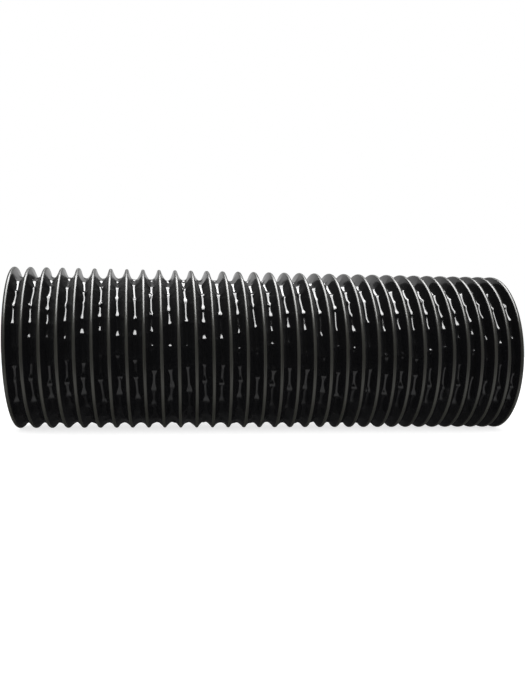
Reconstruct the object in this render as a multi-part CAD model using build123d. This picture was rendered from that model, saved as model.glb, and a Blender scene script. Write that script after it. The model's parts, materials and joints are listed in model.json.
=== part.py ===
"""Compressible film hose with a spring wire helix, 4 inch nominal, in millimetres.

A thin black film tube is wrapped round one steel wire helix. The film is tight over the wire, which
makes a rounded crest, and folds inwards between two crests, which makes a valley. Both ends are cut
plain, one crest from the last fold, so the end turn of wire is the rim.

Frame: the origin is the centre of the left end, +X runs along the axis of the hose and +Z is up.
The hose lies on its side, on the plane z = -CREST_RADIUS.

The hose bends and stretches anywhere, so it is made as short lengths of one and a half turns. Each
length is a piece of wire and its piece of film, cut where the helix crosses the plane z = 0. The wires
stay clear of each other when a length slides along X or turns about Z. The films are clear of each
other only at rest, because real film folds or pulls flat there. Rounds across the film and the wire
are drawn as flats, with their corners on the true round.
"""
from build123d import *
import math
import os

# Driving dimensions
BORE_DIAMETER = 102.0  # inside the wire helix: the hose slips over a 4 inch spigot
WIRE_DIAMETER = 1.4
FILM_THICKNESS = 0.45
TURNS = 33
TURNS_PER_LENGTH = 1.5
PITCH_MIDDLE = 10.5  # pitch of the helix half way along
PITCH_LEAN = -0.69  # how much the pitch changes from the middle to the right end, evenly
PITCH_DROOP = -1.2  # how much closer the turns are at both ends
VALLEY_DEPTH = 6.2  # from the crest down to the bottom of the fold
VALLEY_POWER = 2.2  # 2 is a parabola, more is a flatter bottom
POCKET_CLEARANCE = 0.05  # between the wire and the film round it
FOLD_GAP = 0.4  # between the edges of two neighbouring strips of film, at the bottom of the fold
SIDE_STEPS = 5  # flats down one side of a fold
ROUND_FLATS = 6  # flats that stand for a half round

# Worked out from them
WIRE_RADIUS = WIRE_DIAMETER / 2
HELIX_RADIUS = BORE_DIAMETER / 2 + WIRE_RADIUS
POCKET_RADIUS = WIRE_RADIUS + POCKET_CLEARANCE
CREST_ROUND = POCKET_RADIUS + FILM_THICKNESS
CREST_RADIUS = HELIX_RADIUS + CREST_ROUND
VALLEY_RADIUS = CREST_RADIUS - VALLEY_DEPTH
LENGTHS = round(TURNS / TURNS_PER_LENGTH)


def station(turn):
    """Where the wire is along X after so many turns; the pitch is a parabola in the turn number."""
    half = TURNS / 2
    u = turn / half - 1
    along = PITCH_MIDDLE * (u + 1) + PITCH_LEAN * (u**2 - 1) / 2 + PITCH_DROOP * (u**3 + 1) / 3
    return CREST_ROUND + half * along


def placing(turn):
    """The plane at the start of a length: its Z is the axis of the hose, its X points at the wire."""
    back = 1 if (turn % 1) == 0 else -1
    return Plane(origin=(station(turn), 0, 0), x_dir=(0, back, 0), z_dir=(1, 0, 0))


def fold_side(pitch):
    """Points (radius, along) on the outside of the film, from beside the wire to the fold's bottom."""
    half = pitch / 2
    last = half - FOLD_GAP / 2
    points = []
    for step in range(SIDE_STEPS + 1):
        along = CREST_ROUND + (last - CREST_ROUND) * step / SIDE_STEPS
        rise = ((half - along) / (half - CREST_ROUND)) ** VALLEY_POWER
        points.append((VALLEY_RADIUS + (HELIX_RADIUS - VALLEY_RADIUS) * rise, along))
    return points


def thickened(points):
    """The inside of the film opposite each point of its outside."""
    inner = []
    for i, (radius, along) in enumerate(points):
        before, after = points[max(i - 1, 0)], points[min(i + 1, len(points) - 1)]
        run, drop = after[1] - before[1], after[0] - before[0]
        size = math.hypot(run, drop)
        inner.append((radius - FILM_THICKNESS * run / size, along + FILM_THICKNESS * drop / size))
    inner[-1] = (points[-1][0] - FILM_THICKNESS, points[-1][1])
    return inner


def rounded(radius, low, high):
    """Corners of the flats that stand for a round, from one angle to another off the crest's top."""
    angles = [low + (high - low) * flat / ROUND_FLATS for flat in range(ROUND_FLATS + 1)]
    return [(HELIX_RADIUS + radius * math.cos(a), radius * math.sin(a)) for a in angles]


def section_of(points):
    """A flat face in the plane of the axis, from its corners (radius, along)."""
    corners = [(radius, 0, along) for radius, along in points]
    return Face(Wire(Polyline(*corners, close=True).edges()))


def wire_section():
    """The whole round of the wire, as flats."""
    upper = rounded(WIRE_RADIUS, 0, math.pi)
    lower = rounded(WIRE_RADIUS, math.pi, 2 * math.pi)
    return section_of(upper[:-1] + lower[:-1])


def film_section(pitch, left=True, right=True):
    """The strip of film over one wire: a pocket round the wire and a side down to the fold each way."""
    outside, inside = fold_side(pitch), thickened(fold_side(pitch))
    right_side = outside[1:] + inside[:0:-1] if right else []
    left_side = [(radius, -along) for radius, along in inside[1:] + outside[:0:-1]] if left else []
    crest = rounded(CREST_ROUND, -math.pi / 2, math.pi / 2)
    pocket = rounded(POCKET_RADIUS, math.pi / 2, -math.pi / 2)
    return section_of(crest + right_side + pocket + left_side)


def screw(section, pitch, turns):
    """The solid a section leaves when it turns about Z and climbs with the wire."""
    path = Helix(pitch=pitch, height=pitch * turns, radius=HELIX_RADIUS)
    return sweep(section, path=path, is_frenet=True)


def wire_length(number):
    """One and a half turns of the spring wire."""
    turn = number * TURNS_PER_LENGTH
    pitch = (station(turn + TURNS_PER_LENGTH) - station(turn)) / TURNS_PER_LENGTH
    return placing(turn).location * screw(wire_section(), pitch, TURNS_PER_LENGTH)


def film_length(number):
    """One and a half turns of film; the outer turn at each end has a side on the inward side only."""
    turn = number * TURNS_PER_LENGTH
    pitch = (station(turn + TURNS_PER_LENGTH) - station(turn)) / TURNS_PER_LENGTH
    whole = film_section(pitch)
    end_turn = 1
    if number == 0:
        rim = screw(film_section(pitch, left=False), pitch, end_turn)
        rest = screw(whole, pitch, TURNS_PER_LENGTH - end_turn)
        local = rim + Pos(0, 0, pitch * end_turn) * rest
    elif number == LENGTHS - 1:
        inner = TURNS_PER_LENGTH - end_turn
        rim = screw(film_section(pitch, right=False), pitch, end_turn)
        local = screw(whole, pitch, inner) + Pos(0, 0, pitch * inner) * Rot(0, 0, 360 * inner) * rim
    else:
        local = screw(whole, pitch, TURNS_PER_LENGTH)
    return placing(turn).location * local


def main():
    os.makedirs("parts", exist_ok=True)
    for number in range(LENGTHS):
        export_step(wire_length(number), f"parts/wire_{number + 1:02d}.step")
        export_step(film_length(number), f"parts/film_{number + 1:02d}.step")
    print("crest radius", round(CREST_RADIUS, 3), "length", round(station(TURNS) + CREST_ROUND, 2))


main()
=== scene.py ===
# %% [markdown]
# # A film hose with a spring wire helix
# The hose is one thin black film tube and one steel wire. The wire is wound into a helix and the film
# is tight over it, so each turn of wire is a rounded crest. Between two crests the film has length to
# spare and folds inwards. Everything here is drawn in metres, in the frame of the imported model, which
# lies on its side with +X along its axis.

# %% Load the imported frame
import json
import math
import bpy
import numpy as np
from mathutils import Matrix, Vector

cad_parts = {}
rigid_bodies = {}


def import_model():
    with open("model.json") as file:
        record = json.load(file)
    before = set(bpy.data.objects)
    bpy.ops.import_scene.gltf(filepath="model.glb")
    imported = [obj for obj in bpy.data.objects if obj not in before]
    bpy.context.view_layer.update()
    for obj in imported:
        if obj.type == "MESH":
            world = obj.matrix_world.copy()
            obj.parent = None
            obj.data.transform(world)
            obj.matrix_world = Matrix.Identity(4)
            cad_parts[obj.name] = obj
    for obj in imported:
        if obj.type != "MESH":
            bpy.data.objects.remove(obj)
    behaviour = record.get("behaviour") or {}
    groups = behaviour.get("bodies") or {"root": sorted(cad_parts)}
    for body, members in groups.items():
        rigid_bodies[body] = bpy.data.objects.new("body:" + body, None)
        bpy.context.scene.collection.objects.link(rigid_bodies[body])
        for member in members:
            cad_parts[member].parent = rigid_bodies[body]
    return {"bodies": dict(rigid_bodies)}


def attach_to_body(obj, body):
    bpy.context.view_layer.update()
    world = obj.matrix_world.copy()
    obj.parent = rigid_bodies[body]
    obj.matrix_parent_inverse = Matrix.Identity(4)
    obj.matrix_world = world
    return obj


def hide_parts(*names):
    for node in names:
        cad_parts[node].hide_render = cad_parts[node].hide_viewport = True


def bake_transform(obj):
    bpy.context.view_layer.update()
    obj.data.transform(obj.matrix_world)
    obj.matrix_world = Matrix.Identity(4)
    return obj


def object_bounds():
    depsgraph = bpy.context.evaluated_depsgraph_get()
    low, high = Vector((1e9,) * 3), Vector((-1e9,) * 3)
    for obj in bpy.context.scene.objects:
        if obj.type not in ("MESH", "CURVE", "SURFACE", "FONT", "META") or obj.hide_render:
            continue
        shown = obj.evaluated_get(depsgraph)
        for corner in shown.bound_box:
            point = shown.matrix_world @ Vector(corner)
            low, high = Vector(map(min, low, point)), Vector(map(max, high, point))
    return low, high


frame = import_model()
cad_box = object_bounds()
print("CAD box", [[round(v, 4) for v in corner] for corner in cad_box])

# %% [markdown]
# ## Where the wire runs
# All of the hose follows from the helix. Its pitch isn't constant: the hose was pulled open by hand, so
# the turns in the middle are further apart than those at the ends. A parabola for the pitch is enough,
# and its integral gives the place of the wire after any number of turns.

# %% Sizes of the hose, in metres
MM = 0.001
TURNS = 33
HELIX_RADIUS = 51.7 * MM  # the centre of the wire
WIRE_RADIUS = 0.7 * MM
FILM = 0.45 * MM  # thickness of the film
CREST_ROUND = 1.2 * MM  # the film's outside round the wire
PITCH = (10.5 * MM, -0.69 * MM, -1.2 * MM)  # middle, change to the right end, droop to both ends


def station(turn):
    """Where the wire is along X after so many turns."""
    half = TURNS / 2
    u = turn / half - 1
    middle, lean, droop = PITCH
    return CREST_ROUND + half * (middle * (u + 1) + lean * (u**2 - 1) / 2 + droop * (u**3 + 1) / 3)


def around(x, radius, turn):
    """Points at these radii and turns: turn 0 is at the back, a quarter is on top, a half in front."""
    angle = 2 * np.pi * turn
    return np.stack([x, radius * np.cos(angle), radius * np.sin(angle)], axis=-1)


bodies = sorted(frame["bodies"])
TURNS_EACH = TURNS / len(bodies)
middles = [station(TURNS_EACH * (k + 0.5)) for k in range(len(bodies))]
print(len(bodies), "lengths, the first middles at", [round(m / MM, 1) for m in middles[:3]], "mm")

# %% [markdown]
# ## The fold between two turns
# A fold is a smooth valley, but a film tube that is squeezed endways doesn't stay round: it buckles into
# flats. Along one flat the bottom of the fold is a straight chord, and where two flats meet the spare
# film stands up in a small pinch. The pinches are a little irregular, so they are placed by seeded
# random steps along the whole strip, a little over twenty to a turn. This could be done by cloth
# simulation, but a formula gives the same flats and pinches at any pitch, and again on every run.

# %% Place the pinches along the strip
random = np.random.default_rng(11)
PINCH_STEP = (10.5, 20.5)  # degrees from one pinch to the next
PINCH_HEIGHT = (0.45, 1.15)  # in mm, above the flats
PINCH_LENGTH = (3.0, 5.0)  # degrees, half of it
PINCH_WIDTH = (0.45, 0.75)  # half of it, as a share of the half fold
PINCH_SIDE = (-0.16, 0.16)  # how far it is off the middle of the fold
FOLD_DEPTH = 5.4 * MM  # from the crest to the bottom of the fold at a pinch, half way up
ROUNDNESS = 1.8  # power of the fold's curve: 1 is a V, 2 a parabola
SAG_CHANGE = 0.25  # rounder on top, nearer a V below, where the film hangs outwards
HANG = 1.6 * MM  # the film hangs: the fold is this much deeper on top and shallower below

pinch = [-random.uniform(0.0, 0.05)]
while pinch[-1] < TURNS - 1:
    pinch.append(pinch[-1] + random.uniform(*PINCH_STEP) / 360)
pinch = np.array(pinch)
count = len(pinch)
pinch_height = random.uniform(*PINCH_HEIGHT, count) * MM
pinch_length = random.uniform(*PINCH_LENGTH, count) / 360
pinch_width = random.uniform(*PINCH_WIDTH, count)
pinch_side = random.uniform(*PINCH_SIDE, count)
print(count, "pinches,", round(count / (TURNS - 1), 1), "to a turn")

# %% [markdown]
# ## Draw the film as one grid
# The film is one long strip, with a column of points across it for every step round the helix. A column
# starts on top of one turn of wire, goes down its side, across the fold, and up onto the next turn. It
# ends on a point that the column one whole turn later starts on, so the strip is sewn to itself.

# %% Steps of the grid
STEPS = 288  # columns to a turn
ARC_ROWS = 4  # rows from the top of the wire down to where the film leaves it
FOLD_ROWS = 18  # rows across the fold
LEAVE = math.radians(74)  # where the film leaves the wire, from the top
HEM = math.radians(130)  # how far the film's cut edge is wrapped round the end turn
HEM_ROWS = 6
ROWS = 2 * ARC_ROWS + FOLD_ROWS


def near_pinch(turn, across):
    """How far the pinches lift the film at each point."""
    nearest = np.clip(np.searchsorted(pinch, turn), 1, count - 1)
    lift = np.zeros_like(across)
    for j in (nearest - 1, nearest):
        along = np.abs(turn - pinch[j]) / pinch_length[j]
        beside = np.abs(across - pinch_side[j]) / pinch_width[j]
        lift = np.maximum(lift, pinch_height[j] * np.clip(1 - along - beside, 0, 1))
    return lift


def fold_bottom(turn):
    """The radius of the fold's bottom: a straight chord from each pinch to the next."""
    after = np.clip(np.searchsorted(pinch, turn), 1, count - 1)
    middle = (pinch[after] + pinch[after - 1]) / 2
    half = np.pi * (pinch[after] - pinch[after - 1])
    offset = np.clip(2 * np.pi * (turn - middle), -half, half)
    at_pinch = HELIX_RADIUS + CREST_ROUND - FOLD_DEPTH - HANG * np.sin(2 * np.pi * middle)
    return at_pinch * np.cos(half) / np.cos(offset)


def fold_middle(turn):
    """How far the bottom of the fold is off its middle, as a share of the half fold."""
    return np.interp(turn, pinch, pinch_side)


def strip():
    """The film's outside: an array of columns by rows of points, from one crest to the next."""
    turn = np.arange((TURNS - 1) * STEPS + 1)[:, None] / STEPS
    row = np.arange(ROWS)[None, :]
    left, right = station(turn), station(turn + 1)
    down = LEAVE * np.clip(row, 0, ARC_ROWS) / ARC_ROWS
    up = LEAVE * np.clip(ROWS - row, 0, ARC_ROWS) / ARC_ROWS
    across = np.clip((row - ARC_ROWS) / FOLD_ROWS, 0, 1) * 2 - 1
    edge = CREST_ROUND * math.sin(LEAVE)
    brink = HELIX_RADIUS + CREST_ROUND * math.cos(LEAVE)
    shifted = across - fold_middle(turn) * (1 - across**2)
    bottom = fold_bottom(turn)
    power = ROUNDNESS + SAG_CHANGE * np.sin(2 * np.pi * turn)
    radius = bottom + (brink - bottom) * np.abs(shifted) ** power
    radius = np.minimum(radius + near_pinch(turn, shifted * np.ones_like(turn)), brink)
    x = (left + right) / 2 + across * ((right - left) / 2 - edge)
    on_left, on_right = row < ARC_ROWS, row > ARC_ROWS + FOLD_ROWS
    x = np.where(on_left, left + CREST_ROUND * np.sin(down), x)
    x = np.where(on_right, right - CREST_ROUND * np.sin(up), x)
    radius = np.where(on_left, HELIX_RADIUS + CREST_ROUND * np.cos(down), radius)
    radius = np.where(on_right, HELIX_RADIUS + CREST_ROUND * np.cos(up), radius)
    return around(x, radius, turn)


def hem(first, side):
    """The film wrapped round the end turn of wire, from the crest line to its cut edge."""
    turn = first + np.arange(STEPS + 1)[:, None] / STEPS
    angle = HEM * np.arange(1, HEM_ROWS + 1)[None, :] / HEM_ROWS
    x = station(turn) + side * CREST_ROUND * np.sin(angle)
    return around(x, HELIX_RADIUS + CREST_ROUND * np.cos(angle), turn)


# %% Sew the points into faces
columns = (TURNS - 1) * STEPS + 1
end_turns = TURNS - 1 + np.arange(1, STEPS + 1) / STEPS
last_turn = around(station(end_turns), HELIX_RADIUS + CREST_ROUND, end_turns)
blocks = [strip().reshape(-1, 3), last_turn, hem(0, -1).reshape(-1, 3), hem(TURNS - 1, 1).reshape(-1, 3)]
offsets = np.cumsum([0] + [len(b) for b in blocks])
outside = np.concatenate(blocks)

crest_line = np.concatenate([np.arange(columns) * ROWS, offsets[1] + np.arange(STEPS)])
whole = np.arange(columns * ROWS).reshape(columns, ROWS)
whole = np.concatenate([whole, crest_line[STEPS:][:, None]], axis=1)
left_hem = np.concatenate([crest_line[: STEPS + 1, None],
                           offsets[2] + np.arange((STEPS + 1) * HEM_ROWS).reshape(-1, HEM_ROWS)], axis=1)
right_hem = np.concatenate([crest_line[-STEPS - 1:, None],
                            offsets[3] + np.arange((STEPS + 1) * HEM_ROWS).reshape(-1, HEM_ROWS)], axis=1)


def quads(grid):
    """The faces of a grid of point numbers, wound one way."""
    return np.stack([grid[:-1, :-1], grid[:-1, 1:], grid[1:, 1:], grid[1:, :-1]], axis=-1).reshape(-1, 4)


faces = np.concatenate([quads(whole), quads(left_hem)[:, ::-1], quads(right_hem)])
print(len(outside), "points and", len(faces), "faces on the outside of the film")


def face_normals(points, quad):
    return np.cross(points[quad[:, 2]] - points[quad[:, 0]], points[quad[:, 3]] - points[quad[:, 1]])


def point_normals(points, quad):
    """Unit normals at the points, each the mean of its faces'."""
    total, flat = np.zeros_like(points), face_normals(points, quad)
    for corner in range(4):
        for axis in range(3):
            total[:, axis] += np.bincount(quad[:, corner], flat[:, axis], len(points))
    return total / np.linalg.norm(total, axis=1, keepdims=True)


normals = point_normals(outside, faces)
outward = np.einsum("ij,ij->i", normals[crest_line], outside[crest_line] * [0, 1, 1]).mean()
if outward < 0:
    faces, normals = faces[:, ::-1], -normals
inside = outside - FILM * normals
print("normals point outwards:", outward > 0)

# %% [markdown]
# ## Cut the film where the lengths meet
# The hose is one piece of film, but its parts move with different bodies. So the grid is cut into rings,
# each from the middle of one length to the middle of the next. The two end rings ride on the end lengths,
# and the rings between them are left fixed where they are. The rings are closed solids that share their
# edges' points and normals, so no seam shows between them.

# %% Make a ring of film
def ring_mesh(name, chosen, values):
    """A closed mesh of the chosen outside faces, the inside below them, and a wall along their edge."""
    size = len(outside)
    edges = np.stack([chosen, np.roll(chosen, -1, axis=1)], axis=-1).reshape(-1, 2)
    forward, backward = edges[:, 0] * size + edges[:, 1], edges[:, 1] * size + edges[:, 0]
    rim = edges[~np.isin(forward, backward)]
    wall = np.stack([rim[:, 1], rim[:, 0], rim[:, 0] + size, rim[:, 1] + size], axis=1)
    quad = np.concatenate([chosen, chosen[:, ::-1] + size, wall])
    points = np.concatenate([outside, inside])
    used, quad_of = np.unique(quad, return_inverse=True)
    quad_of = quad_of.reshape(-1, 4)
    flat = face_normals(points, wall)
    flat = flat / np.linalg.norm(flat, axis=1, keepdims=True)
    wall_corner = np.repeat(flat[:, None], 4, axis=1)
    corner = np.concatenate([normals[chosen], -normals[chosen[:, ::-1]], wall_corner])
    mesh = bpy.data.meshes.new(name)
    mesh.from_pydata(points[used].tolist(), [], quad_of.tolist())
    mesh.polygons.foreach_set("use_smooth", np.ones(len(quad), bool))
    for key, value in values.items():
        layer = mesh.attributes.new(key, "FLOAT", "POINT")
        layer.data.foreach_set("value", np.tile(value, 2)[used].astype(np.float32))
    mesh.normals_split_custom_set(corner.reshape(-1, 3).tolist())
    mesh.update()
    return mesh


def link(name, mesh):
    piece = bpy.data.objects.new(name, mesh)
    bpy.context.scene.collection.objects.link(piece)
    return piece


def attach(piece, zone, kind):
    """Leave a piece fixed in place across the joint in its zone, or let it ride on the length at that
    end.
    """
    last = len(bodies)
    if zone in (0, last):
        end = bodies[min(zone, last - 1)]
        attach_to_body(piece, end)
        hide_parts(f"{kind}_{min(zone + 1, last):02d}")
    else:
        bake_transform(piece)
        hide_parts(f"{kind}_{zone:02d}", f"{kind}_{zone + 1:02d}")


# %% How far each point is round the wire, along the strip and across it
def per_point(on_strip, on_crest, on_hem):
    """One number for each point, from its values on the strip, the last crest line and the two hems."""
    hem_values = np.tile(on_hem, STEPS + 1)
    return np.concatenate([np.tile(on_strip, columns), np.full(STEPS, on_crest), hem_values, hem_values])


rows = np.arange(ROWS)
from_crest = np.minimum(rows, ROWS - rows) / ARC_ROWS
crest_share = per_point(np.clip(2.2 - 2.2 * from_crest, 0, 1), 1.0, np.full(HEM_ROWS, 1.0))
angle_of = np.arctan2(outside[:, 2], outside[:, 1])
strip_angle = np.unwrap(angle_of[:offsets[1]].reshape(columns, ROWS), axis=0)
along_strip = np.concatenate([strip_angle.ravel(), angle_of[offsets[1]:]]) * HELIX_RADIUS
film_values = {"crest": crest_share, "along": along_strip, "across": outside[:, 0]}

film_pieces = []
zone_of = np.searchsorted(middles, outside[faces].mean(axis=1)[:, 0])
for zone in range(len(bodies) + 1):
    name = f"film_ring_{zone + 1:02d}"
    piece = link(name, ring_mesh(name, faces[zone_of == zone], film_values))
    attach(piece, zone, "film")
    film_pieces.append(piece)
print(len(film_pieces), "rings of film")

# %% [markdown]
# ## The wire
# The wire is a round tube swept along the same helix, inside the film's crests. It shows where the film
# is open to the bore, and at the two cut ends. It is cut where the film is cut, and every piece of it is
# closed with a flat cap.

# %% Draw the wire
WIRE_STEPS = 96  # rings to a turn
WIRE_SIDES = 14


def wire_piece(name, first, last):
    """A closed round tube along the helix from one step to another."""
    turn = np.arange(first, last + 1)[:, None] / WIRE_STEPS
    angle = np.arange(WIRE_SIDES)[None, :] * 2 * np.pi / WIRE_SIDES
    x = station(turn) + WIRE_RADIUS * np.cos(angle)
    radius = HELIX_RADIUS + WIRE_RADIUS * np.sin(angle) * np.ones_like(turn)
    points = around(x, radius, turn).reshape(-1, 3)
    grid = np.arange(len(points)).reshape(-1, WIRE_SIDES)
    grid = np.concatenate([grid, grid[:, :1]], axis=1)
    sides = quads(grid)[:, ::-1].tolist()
    caps = [grid[0, :-1].tolist(), grid[-1, :-1][::-1].tolist()]
    mesh = bpy.data.meshes.new(name)
    mesh.from_pydata(points.tolist(), [], sides + caps)
    mesh.polygons.foreach_set("use_smooth", [True] * len(sides) + [False] * 2)
    layer = mesh.attributes.new("along", "FLOAT", "POINT")
    layer.data.foreach_set("value", np.repeat(turn.ravel() * 2 * np.pi * HELIX_RADIUS, WIRE_SIDES))
    layer = mesh.attributes.new("across", "FLOAT", "POINT")
    layer.data.foreach_set("value", np.tile(angle.ravel() * WIRE_RADIUS, len(turn)))
    mesh.update()
    return link(name, mesh)


wire_pieces = []
wire_stations = station(np.arange(TURNS * WIRE_STEPS + 1) / WIRE_STEPS)
cuts = [0] + [int(np.searchsorted(wire_stations, m)) for m in middles] + [TURNS * WIRE_STEPS]
for zone in range(len(bodies) + 1):
    piece = wire_piece(f"wire_turns_{zone + 1:02d}", cuts[zone], cuts[zone + 1])
    attach(piece, zone, "wire")
    wire_pieces.append(piece)
print(len(wire_pieces), "stretches of wire,", round(2 * math.pi * HELIX_RADIUS * TURNS, 2), "m in all")

# %% [markdown]
# ## Finishes
# The film is black vinyl, with a wet gloss in the folds. Over the wire it is stretched and rubbed, so it
# is more satin there and a little greyer. Both the film and the wire show fine lines that run along the
# strip, from the rollers and the drawing die, so those lines are one node group that both use.

# %% The shared node group: fine lines along the strip
def node(tree, kind, **inputs):
    """Add a node; a value given for an input is set on it, and a socket is linked to it."""
    made = tree.nodes.new(kind)
    for key, value in inputs.items():
        socket = made.inputs[key.replace("_", " ")]
        if isinstance(value, bpy.types.NodeSocket):
            tree.links.new(value, socket)
        else:
            socket.default_value = value
    return made


def math_node(tree, operation, first, second):
    made = tree.nodes.new("ShaderNodeMath")
    made.operation = operation
    tree.links.new(first, made.inputs[0])
    tree.links.new(second, made.inputs[1])
    return made.outputs[0]


def lines_group():
    """Noise drawn out along the strip. Puts out a mask from 0 to 1 and a height."""
    tree = bpy.data.node_groups.new("strip_lines", "ShaderNodeTree")
    for name, default in (("Along", 0.0), ("Across", 0.0), ("Fineness", 2500.0), ("Draw", 0.04)):
        socket = tree.interface.new_socket(name, in_out="INPUT", socket_type="NodeSocketFloat")
        socket.default_value = default
    for name in ("Mask", "Height"):
        tree.interface.new_socket(name, in_out="OUTPUT", socket_type="NodeSocketFloat")
    source = tree.nodes.new("NodeGroupInput")
    stretched = math_node(tree, "MULTIPLY", source.outputs["Along"], source.outputs["Draw"])
    place = node(tree, "ShaderNodeCombineXYZ", X=stretched, Y=source.outputs["Across"])
    lines = node(tree, "ShaderNodeTexNoise", Vector=place.outputs[0], Scale=source.outputs["Fineness"],
                 Detail=3.0)
    patches = node(tree, "ShaderNodeTexNoise", Vector=place.outputs[0], Scale=140.0, Detail=2.0)
    both = math_node(tree, "MULTIPLY", lines.outputs[0], patches.outputs[0])
    mask = node(tree, "ShaderNodeMapRange", Value=both)
    mask.inputs["From Min"].default_value = 0.12
    mask.inputs["From Max"].default_value = 0.42
    target = tree.nodes.new("NodeGroupOutput")
    tree.links.new(mask.outputs[0], target.inputs["Mask"])
    tree.links.new(lines.outputs[0], target.inputs["Height"])
    return tree


lines_tree = lines_group()
print("group", lines_tree.name, "has", len(lines_tree.nodes), "nodes")


# %% The two materials
def attribute(tree, name):
    made = tree.nodes.new("ShaderNodeAttribute")
    made.attribute_name = name
    return made.outputs["Fac"]


def start_material(name, fineness, draw):
    """A material with its Principled node and the fine lines placed in it."""
    material = bpy.data.materials.new(name)
    material.use_nodes = True
    tree = material.node_tree
    shader = tree.nodes["Principled BSDF"]
    lines = tree.nodes.new("ShaderNodeGroup")
    lines.node_tree = lines_tree
    tree.links.new(attribute(tree, "along"), lines.inputs["Along"])
    tree.links.new(attribute(tree, "across"), lines.inputs["Across"])
    lines.inputs["Fineness"].default_value = fineness
    lines.inputs["Draw"].default_value = draw
    return material, tree, shader, lines


def spread(tree, value, low, high):
    """Map 0 to 1 onto low to high."""
    made = node(tree, "ShaderNodeMapRange", Value=value)
    made.inputs["To Min"].default_value = low
    made.inputs["To Max"].default_value = high
    return made.outputs[0]


def between(tree, share, first, second):
    """A colour that goes from first to second with the share."""
    made = tree.nodes.new("ShaderNodeMix")
    made.data_type = "RGBA"
    made.inputs["A"].default_value = (*first, 1)
    tree.links.new(share, made.inputs["Factor"])
    if isinstance(second, bpy.types.NodeSocket):
        tree.links.new(second, made.inputs["B"])
    else:
        made.inputs["B"].default_value = (*second, 1)
    return made.outputs["Result"]


def bumped(tree, shader, height, strength, distance):
    bump = node(tree, "ShaderNodeBump", Height=height, Strength=strength, Distance=distance)
    tree.links.new(bump.outputs[0], shader.inputs["Normal"])


def glossy_ray(tree):
    """1 for what a shiny surface mirrors, 0 for what the camera sees."""
    return tree.nodes.new("ShaderNodeLightPath").outputs["Is Glossy Ray"]


def dull_when_mirrored(tree, roughness):
    """Film seen in the gloss of other film is dull, so one fold's glint isn't repeated down the next."""
    return math_node(tree, "MAXIMUM", roughness, glossy_ray(tree))


def film_material():
    material, tree, shader, lines = start_material("black_film", 1800.0, 0.03)
    crest = attribute(tree, "crest")
    rubbed = between(tree, lines.outputs["Mask"], (0.016, 0.016, 0.013), (0.034, 0.034, 0.028))
    tree.links.new(between(tree, crest, (0.004, 0.004, 0.0045), rubbed), shader.inputs["Base Color"])
    gloss = node(tree, "ShaderNodeMix", Factor=crest)
    tree.links.new(spread(tree, lines.outputs["Mask"], 0.10, 0.17), gloss.inputs["A"])
    tree.links.new(spread(tree, lines.outputs["Mask"], 0.30, 0.42), gloss.inputs["B"])
    tree.links.new(dull_when_mirrored(tree, gloss.outputs["Result"]), shader.inputs["Roughness"])
    shader.inputs["IOR"].default_value = 1.5
    bumped(tree, shader, lines.outputs["Height"], 0.15, 0.00008)
    return material


def wire_material():
    material, tree, shader, lines = start_material("spring_steel", 5200.0, 0.02)
    tree.links.new(between(tree, lines.outputs["Mask"], (0.36, 0.36, 0.37), (0.56, 0.56, 0.57)),
                   shader.inputs["Base Color"])
    tree.links.new(spread(tree, lines.outputs["Mask"], 0.24, 0.40), shader.inputs["Roughness"])
    shader.inputs["Metallic"].default_value = 1.0
    bumped(tree, shader, lines.outputs["Height"], 0.25, 0.00005)
    return material


black_film, spring_steel = film_material(), wire_material()
for piece in film_pieces:
    piece.data.materials.append(black_film)
for piece in wire_pieces:
    piece.data.materials.append(spring_steel)
print("materials:", black_film.name, spring_steel.name)

# %% [markdown]
# ## The stage
# A glossy black thing shows its surroundings and little else, so the light is chosen by what the film
# should mirror: a broad soft box overhead for the bright glints in the upper folds, a painted pool of
# light on the floor in front of the hose that glows only in reflections, with painted shade right under
# the hose, and a dim room in front. The floor and the room look nearly white to the camera.

# %% Floor and surroundings
REST = cad_box[0][2]  # the floor is where the hose lies
floor_mesh = bpy.data.meshes.new("floor")
REACH = 6.0
floor_mesh.from_pydata([(-REACH, -REACH, REST), (REACH, -REACH, REST), (REACH, REACH, REST),
                        (-REACH, REACH, REST)], [], [(0, 1, 2, 3)])
floor = link("floor", floor_mesh)


def ramp(tree, value, start, stop, first, second):
    """A grey that goes smoothly from first to second while value goes from start to stop."""
    made = node(tree, "ShaderNodeMapRange", Value=value)
    made.interpolation_type = "SMOOTHSTEP"
    for key, number in (("From Min", start), ("From Max", stop), ("To Min", first), ("To Max", second)):
        made.inputs[key].default_value = number
    return made.outputs[0]


def coordinate(tree, kind, axis):
    source = tree.nodes.new("ShaderNodeTexCoord")
    return node(tree, "ShaderNodeSeparateXYZ", Vector=source.outputs[kind]).outputs[axis]


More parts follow.
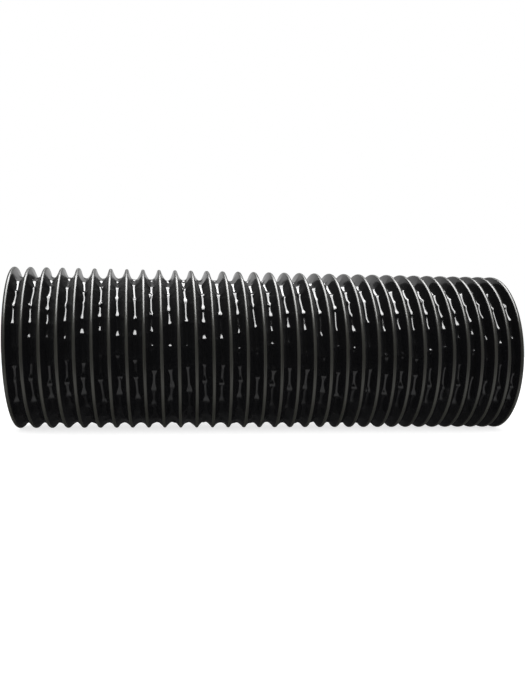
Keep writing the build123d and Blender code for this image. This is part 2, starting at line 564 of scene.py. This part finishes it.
floor_material = bpy.data.materials.new("pale_floor_painted_pool")
floor_material.use_nodes = True
tree = floor_material.node_tree
# Painted pool of light: a band of floor in front of the hose glows, but only in the film's reflections.
near = coordinate(tree, "Object", "Y")
painted_pool_front_edge = ramp(tree, near, -0.125, -0.08, 0.01, 0.7)
# Painted shade: the pool darkens again right under the hose.
painted_shade_under_hose = ramp(tree, near, -0.065, -0.03, 1.0, 0.04)
painted_light_pool = math_node(tree, "MULTIPLY", painted_pool_front_edge, painted_shade_under_hose)  # what the film mirrors of the floor
paper = tree.nodes["Principled BSDF"]
# To the camera the floor is an even pale grey; in reflections it is black apart from the painted pool of
# light.
tree.links.new(between(tree, glossy_ray(tree), (0.55, 0.55, 0.55), (0, 0, 0)), paper.inputs["Base Color"])
tree.links.new(between(tree, glossy_ray(tree), (0.75, 0.75, 0.75), painted_light_pool),
               paper.inputs["Emission Color"])
paper.inputs["Emission Strength"].default_value = 1.0
paper.inputs["Roughness"].default_value = 0.9
paper.inputs["Specular IOR Level"].default_value = 0.0
floor_mesh.materials.append(floor_material)

world = bpy.data.worlds.new("studio")
world.use_nodes = True
bpy.context.scene.world = world
tree = world.node_tree
room = ramp(tree, coordinate(tree, "Generated", "Y"), 0.4, 1.0, 0.03, 0.6)
seen = between(tree, glossy_ray(tree), (1.0, 1.0, 1.0), room)
tree.links.new(seen, tree.nodes["Background"].inputs["Color"])

# %% Lamp
CENTRE = Vector(((cad_box[0][0] + cad_box[1][0]) / 2, 0, 0))


OVERHEAD = Vector((0, -0.05, 0.62))  # the lamp, from the middle of the hose
lamp = bpy.data.lights.new("soft_box", "AREA")
lamp.shape = "RECTANGLE"
lamp.size, lamp.size_y = 0.55, 0.95
lamp.energy = 25
holder = bpy.data.objects.new("soft_box", lamp)
holder.location = CENTRE + OVERHEAD
holder.rotation_euler = (-OVERHEAD).to_track_quat("-Z", "Y").to_euler()
holder.visible_diffuse = False
bpy.context.scene.collection.objects.link(holder)
print("lamp:", holder.name, [round(x, 3) for x in holder.location])

# %% [markdown]
# ## Camera
# The camera looks across the hose a little from its left, from the height of its axis, so the near turns
# are seen edge on and those at the right end open into ellipses.

# %% Place the camera
camera_data = bpy.data.cameras.new("camera")
camera_data.lens = 39.8
camera = bpy.data.objects.new("camera", camera_data)
STAND = (0.1013, -0.526, 0.0009)  # where the camera is
YAW, PITCH_UP, ROLL = 0.1258, -0.002, 0.0101  # in radians: to the right, up, and tilted
forward = Vector((math.sin(YAW), math.cos(YAW), 0))
ahead = forward * math.cos(PITCH_UP) + Vector((0, 0, math.sin(PITCH_UP)))
level = Vector((math.cos(YAW), -math.sin(YAW), 0))
upright = level.cross(ahead)
right = level * math.cos(ROLL) + upright * math.sin(ROLL)
up = upright * math.cos(ROLL) - level * math.sin(ROLL)
facing = Matrix((right, up, -ahead)).transposed().to_4x4()
camera.matrix_world = Matrix.Translation(STAND) @ facing
bpy.context.scene.collection.objects.link(camera)
bpy.context.scene.camera = camera
bpy.context.scene.view_settings.view_transform = "Standard"
